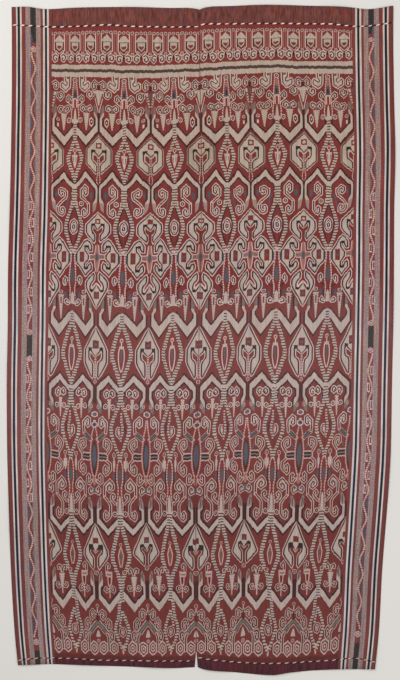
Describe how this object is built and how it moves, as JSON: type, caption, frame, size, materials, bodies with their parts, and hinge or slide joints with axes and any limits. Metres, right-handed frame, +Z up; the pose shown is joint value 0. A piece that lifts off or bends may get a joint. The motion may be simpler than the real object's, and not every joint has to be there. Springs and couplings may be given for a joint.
{
  "type": "ikat woven cloth",
  "caption": "Warp ikat cotton cloth lying flat and face up, with striped side borders, a sewn seam down its middle and a row of weft twining near each end.",
  "frame": {"origin": "on the surface that the cloth lies on, under the middle of the cloth's box", "axes": "+X across the cloth to the right, +Y along the warp towards the head end with its row of small figures, +Z up from the surface out of the cloth's face"},
  "size_m": [1.32, 2.2779, 0.0072],
  "materials": {
    "ikat_cotton": "matt handspun cotton, warp faced, resist dyed in red, indigo and undyed cream",
    "twining_yarn": "matt cotton yarn, pale and indigo floats in turn"
  },
  "bodies": {
    "root": {"panel_left": "ikat_cotton", "panel_right": "ikat_cotton", "twine_top_left": "twining_yarn", "twine_top_right": "twining_yarn", "twine_bottom_left": "twining_yarn", "twine_bottom_right": "twining_yarn"}
  },
  "joints": []
}
